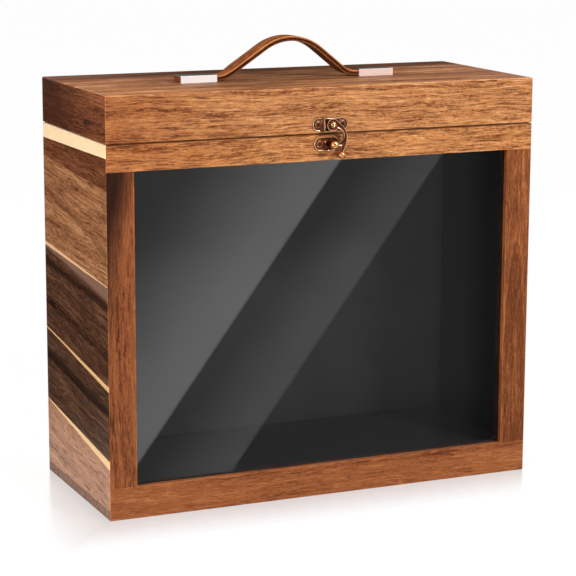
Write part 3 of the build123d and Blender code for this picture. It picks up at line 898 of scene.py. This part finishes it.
def screw_mesh(place, radius, recess):
    """A countersunk screw's head with a cross recess, drawn in a frame whose Z points out of the face."""
    mesh = bmesh.new()
    rub = mesh.verts.layers.float.new("rub")
    turns = 32
    rings = []
    for r, z in ((radius * 0.30, -0.9 * MM), (radius, -0.05 * MM), (radius * 0.93, 0.10 * MM)):
        rings.append([mesh.verts.new(place @ Vector((r * math.cos(2 * math.pi * n / turns),
                                                     r * math.sin(2 * math.pi * n / turns), z)))
                      for n in range(turns)])
    for first, second in zip(rings, rings[1:]):
        join_rings(mesh, first, second)
    mesh.faces.new(rings[0])
    rim = rings[-1]
    for vertex in rim + rings[-2]:
        vertex[rub] = 0.42
    arm = recess * 0.22
    cross = [(arm, arm), (arm, recess), (-arm, recess), (-arm, arm), (-recess, arm), (-recess, -arm),
             (-arm, -arm), (-arm, -recess), (arm, -recess), (arm, -arm), (recess, -arm), (recess, arm)]
    top = [mesh.verts.new(place @ Vector((x, y, 0.13 * MM))) for x, y in cross]
    floor = [mesh.verts.new(place @ Vector((x * 0.55, y * 0.55, -0.65 * MM))) for x, y in cross]
    join_rings(mesh, top, floor)
    mesh.faces.new(floor)
    edges = []
    for loop in (rim, top):
        for a, b in zip(loop, loop[1:] + loop[:1]):
            edges.append(mesh.edges.get((a, b)) or mesh.edges.new((a, b)))
    bmesh.ops.triangle_fill(mesh, use_beauty=True, edges=edges)
    return mesh


def solid_spans(node):
    """Where each separate solid of a CAD node lies, as (lowest corner, highest corner) pairs."""
    near = 1e-4
    data = nodes[node].data
    parent = list(range(len(data.vertices)))

    def root(index):
        while parent[index] != index:
            parent[index] = parent[parent[index]]
            index = parent[index]
        return index

    for edge in data.edges:
        parent[root(edge.vertices[0])] = root(edge.vertices[1])
    groups = {}
    for vertex in data.vertices:
        groups.setdefault(root(vertex.index), []).append(vertex.co.copy())
    spans = []
    for points in groups.values():
        low = Vector([min(p[axis] for p in points) for axis in range(3)])
        high = Vector([max(p[axis] for p in points) for axis in range(3)])
        for number, (other_low, other_high) in enumerate(spans):
            if all(low[axis] <= other_high[axis] + near and other_low[axis] <= high[axis] + near
                   for axis in range(3)):
                spans[number] = (Vector(map(min, low, other_low)), Vector(map(max, high, other_high)))
                break
        else:
            spans.append((low, high))
    return spans


def screws(node, body, material, outward, turn):
    """Detailed heads in place of a CAD node's screws, facing outward along Y. Turn is in degrees."""
    next_turn = 37
    for number, (low, high) in enumerate(solid_spans(node), 1):
        centre = (low + high) / 2
        radius = (high.x - low.x) / 2
        face = high if outward > 0 else low
        place = Matrix(((-outward, 0, 0), (0, 0, 1), (0, outward, 0))).transposed().to_4x4()
        place.translation = Vector((centre.x, face.y, centre.z))
        spin = Matrix.Rotation(math.radians(turn + next_turn * number), 4, "Z")
        mesh = screw_mesh(place @ spin, radius, radius * 0.55)
        new_piece(f"{node}_head_{number}", mesh, material, body, [node], 35)


def rimmed(node, body, material, screw_nodes=()):
    """A casting made from a CAD piece's shape: its front faces sink a little inside a raised rubbed rim."""
    rim = 0.4 * MM
    slope = 0.14 * MM
    sunk = 0.35 * MM
    mesh = bmesh.new()
    mesh.from_mesh(nodes[node].data)
    bmesh.ops.remove_doubles(mesh, verts=mesh.verts, dist=1e-6)
    mesh.normal_update()
    rub = mesh.loops.layers.float.new("rub")
    screws_at = [((low + high) / 2, (high.x - low.x) / 2 + 1.2 * MM) for name in screw_nodes
                 for low, high in solid_spans(name)]

    def worn(face, value):
        for loop in face.loops:
            loop[rub] = value

    def by_a_hole(face):
        middle = face.calc_center_median()
        return any(math.hypot(middle.x - at.x, middle.z - at.z) < reach for at, reach in screws_at)

    fronts = []
    for face in mesh.faces:
        if face.normal.y < -0.999:
            fronts.append(face)
        elif face.normal.y < -0.2 and face.calc_area() < 0.5 * MM * MM and not by_a_hole(face):
            worn(face, 0.9)
        else:
            worn(face, 0.15)
    levels = sorted({round(face.calc_center_median().y, 5) for face in fronts})
    for level in levels:
        field = [face for face in fronts if abs(face.calc_center_median().y - level) < 2e-5]
        band = bmesh.ops.inset_region(mesh, faces=field, thickness=rim, use_even_offset=True,
                                      use_boundary=True)
        for face in band["faces"]:
            worn(face, 0.3 if by_a_hole(face) else 1.0)
        wall = bmesh.ops.inset_region(mesh, faces=field, thickness=slope, depth=-sunk, use_even_offset=True,
                                      use_boundary=True)
        for face in wall["faces"]:
            worn(face, 0.2)
        for face in field:
            worn(face, 0.0)
    new_piece(node + "_casting", mesh, material, body, [node], 40)


def metalwork():
    copper = antique_copper()
    rimmed("latch_plate", "lid", copper, ["latch_plate_screws"])
    rimmed("catch_plate", "box_body", copper, ["catch_screw"])
    rimmed("latch_hook", "latch_arm", copper)
    stems_end = half_depth + 7.6 * MM
    give(bright_copper(stems_end), "finger_knob", "catch_post", "latch_rivet")
    give(copper, "latch_plate", "latch_hook", "catch_plate")
    for side in ("left", "right"):
        give(copper, "hinge_body_leaf_" + side, "hinge_lid_leaf_" + side, "hinge_pin_" + side)
    screw_nodes = (("latch_plate_screws", "lid", -1, 20), ("catch_screw", "box_body", -1, 65),
                   ("hinge_body_screws", "box_body", 1, 10), ("hinge_lid_screws", "lid", 1, 50))
    for node, body, outward, turn in screw_nodes:
        give(copper, node)
        screws(node, body, copper, outward, turn)
    give(chrome(), "handle_block_left", "handle_block_right")
    give(steel(), "handle_screws")


# Stage: floor, light and camera


def stage_plane(name, corners, material):
    data = bpy.data.meshes.new(name)
    data.from_pydata([Vector(c) for c in corners], [], [(0, 1, 2, 3)])
    data.materials.append(material)
    piece = new_object(name, data)
    return piece


def standing(y, x0, x1, z0, z1):
    """The corners of a card that stands across Y."""
    return [(x0, y, z0), (x1, y, z0), (x1, y, z1), (x0, y, z1)]


def lying(z, x0, x1, y0, y1):
    """The corners of a card that lies flat."""
    return [(x0, y0, z), (x1, y0, z), (x1, y1, z), (x0, y1, z)]


def in_mirrors(s, strength):
    """A card that is white of some strength for mirrored rays that meet its front, and clear for others."""
    white = s.shader("Emission", Color=grey(1.0), Strength=strength)
    clear = s.shader("BsdfTransparent", Color=grey(1.0))
    mirrored = s.math("GREATER_THAN", s.node("LightPath").outputs["Glossy Depth"], 0.5)
    front = s.less(1.0, s.node("NewGeometry").outputs["Backfacing"])
    show(s, s.blend(s.times(mirrored, front), clear, white))


def mirror_card(name, corners, material):
    """A card with its front towards the box, which only reflections see."""
    piece = stage_plane(name, corners, material)
    piece.visible_camera = False
    piece.visible_diffuse = False
    piece.visible_volume_scatter = False
    piece.visible_shadow = False


def seen_rays(s):
    """1 for rays that look at a thing directly, in a reflection or through glass, and 0 for its light."""
    path = s.node("LightPath")
    indirect = s.larger(path.outputs["Is Glossy Ray"], path.outputs["Is Transmission Ray"])
    return s.larger(path.outputs["Is Camera Ray"], indirect)


def floor():
    """A pale floor with a soft shadow of the box, and a faint image of it close by."""
    material, s = new_material("pale_floor")
    speck = s.grain(s.place(), detail=3.0, scale=300.0)
    matt = s.shader("BsdfDiffuse", Color=s.mix(speck, grey(0.90), grey(0.94)))
    shine = s.shader("BsdfGlossy", Color=(1.0, 0.975, 0.955, 1.0), Roughness=0.18)
    glow = s.shader("Emission", Color=grey(1.0), Strength=1.06)
    pale = s.blend(0.90, matt, glow)
    x, y = s.split(s.place())[:2]
    beside = s.less(s.unsigned(x), half_width)
    before = s.less(s.unsigned(y), half_depth)
    away = s.larger(s.larger(beside, before), 0.0)
    near = s.step(away, -0.01, 0.080, 0.42, 0.0)
    show(s, s.blend(seen_rays(s), matt, s.blend(near, pale, shine)))
    reach = 40.0
    stage_plane("floor", lying(0, -reach, reach, -reach, reach), material)


def world():
    """A room that looks white and lights the box more softly than that."""
    light_strength = 0.31
    made = bpy.data.worlds.new("studio")
    bpy.context.scene.world = made
    s = empty_shade(made)
    strength = s.step(seen_rays(s), 0.0, 1.0, light_strength, 1.0)
    s.node("OutputWorld", {"Surface": s.shader("Background", Color=grey(1.0), Strength=strength)})


def area_light(name, place, target, size, power, in_reflections=False):
    data = bpy.data.lights.new(name, "AREA")
    data.shape = "RECTANGLE"
    data.size, data.size_y = size
    data.energy = power
    light = new_object(name, data)
    light.location = place
    light.rotation_euler = (Vector(target) - Vector(place)).to_track_quat("-Z", "Y").to_euler()
    light.visible_camera = False
    light.visible_glossy = in_reflections


def lights():
    middle = (0, 0, 0.2)
    area_light("key_light", (0.9, -1.7, 1.5), middle, size=(0.42, 0.36), power=34, in_reflections=True)
    area_light("fill_light", (-2.2, -0.9, 1.1), middle, size=(0.8, 0.8), power=37)


def mirror_cards():
    """Dark cards keep the white room out of the glass, the metal and the lid's shine.

    Two bright ones put highlights on the metal.
    """
    low = 1.5 * MM
    dark = {
        "front_flag": standing(-2.4, 2.6, -2.6, 0.8, 3.2),
        "front_floor_flag": lying(low, -0.8, 1.8, -1.9, -0.09),
        "left_flag": standing(2.4, -2.5, -0.3, 0.0, 1.2),
        "left_floor_flag": [(-2.5, -0.2, low), (-0.339, -0.2, low), (0.423, 2.4, low), (-2.5, 2.4, low)],
    }
    bright = {
        "softbox_left": [(-1.2, -0.75, 0.2), (-1.2, 0.25, 0.2), (-1.2, 0.25, 0.6), (-1.2, -0.75, 0.6)],
        "softbox_above": lying(1.25, 0.15, 1.15, -0.2, -1.1),
    }
    for look, strength, cards in (("black_flag", 0.0, dark), ("softbox", 5.0, bright)):
        material, s = new_material(look)
        in_mirrors(s, strength)
        for name, corners in cards.items():
            mirror_card(name, corners, material)

    material, s = new_material("back_flag")
    darkest_x = 0.155
    away = s.times(s.unsigned(s.less(s.split(s.place())[0], darkest_x)), 5.0)
    dim = s.add(0.05, s.times(s.times(away, away), 0.16))
    in_mirrors(s, dim)
    mirror_card("back_flag", standing(0.35, -0.5, 0.9, 0.365, 1.1), material)


camera_place = Vector((-758.6, -1714.6, 550.1)) * MM
camera_yaw = 0.41696
camera_pitch = 0.20016
camera_roll = 0.00377
camera_lens = 132.6


def camera():
    run = math.cos(camera_pitch)
    ahead = Vector((math.sin(camera_yaw) * run, math.cos(camera_yaw) * run, -math.sin(camera_pitch)))
    right = Vector((math.cos(camera_yaw), -math.sin(camera_yaw), 0))
    up = right.cross(ahead)
    roll = Matrix.Rotation(-camera_roll, 3, ahead)
    right = roll @ right
    up = roll @ up
    data = bpy.data.cameras.new("camera")
    data.lens = camera_lens
    data.sensor_width = 36
    data.clip_start = 0.05
    made = new_object("camera", data)
    made.matrix_world = Matrix((right, up, -ahead)).transposed().to_4x4()
    made.location = camera_place
    bpy.context.scene.camera = made


# Where the glass shows the edges of two bright bands, as points on the pane in mm: x and height
band_one = ((16.1, 296.8), (-170.0, 48.7))
band_two = ((114.7, 296.3), (-84.8, 31.3))
card_distance = 40 * MM


def on_card(x, z):
    """Where the camera's view of a point on the pane meets the reflection card, as x and z in metres."""
    pane_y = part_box("window_pane")[0].y
    point = Vector((x * MM, pane_y, z * MM))
    ray = point - camera_place
    reach = (pane_y - front_y + card_distance) / ray.y
    return point.x + ray.x * reach, point.z + ray.z * reach


def reflection_card():
    """A dark card just in front of the box, whose two bright bands and dim painted glow the pane mirrors."""
    material, s = new_material("reflection_card")
    x, _, z = s.split(s.place())
    edge = 1.2

    def band(line, wide, brightest, faintest):
        """A band that is brightest at its right edge and fades over so many mm to the left of it."""
        (x0, z0), (x1, z1) = [on_card(*point) for point in line]
        length = math.hypot(x1 - x0, z1 - z0)
        across = (z0 - z1) / length, (x1 - x0) / length
        offset = -(across[0] * x0 + across[1] * z0)
        flow = s.add(s.add(s.times(x, across[0]), s.times(z, across[1])), offset)
        beyond = s.times(flow, -1 / MM)
        return s.times(s.step(beyond, -edge, edge), s.step(beyond, 0.0, wide, brightest, faintest))

    bands = s.larger(band(band_one, 130.0, 1.28, 0.29), band(band_two, 80.0, 0.61, 0.21))
    # Painted reflection: a dim glow that the pane mirrors over the lining, fainter towards the right and near
    # the bottom, so that the lining's right wall and floor look darker behind the glass.
    dim_painted_glow = s.times(s.step(x, 0.125, 0.150, 0.23, 0.17), s.step(x, 0.155, 0.192, 1.0, 0.4))
    dim_painted_glow = s.times(dim_painted_glow, s.step(z, 0.02, 0.09, 0.6, 1.0))
    in_mirrors(s, s.larger(bands, dim_painted_glow))
    corners = standing(front_y - card_distance, 0.21, -0.175, 0.010, 0.2905)
    mirror_card("reflection_card", corners, material)


wooden_boards()
give(black_paint(), "pane_bead_top", "pane_bead_bottom", "pane_bead_left", "pane_bead_right")
give(window_glass(), "window_pane")
lining()
strap()
metalwork()

floor()
world()
lights()
mirror_cards()
reflection_card()
camera()

scene = bpy.context.scene
scene.view_settings.view_transform = "Standard"
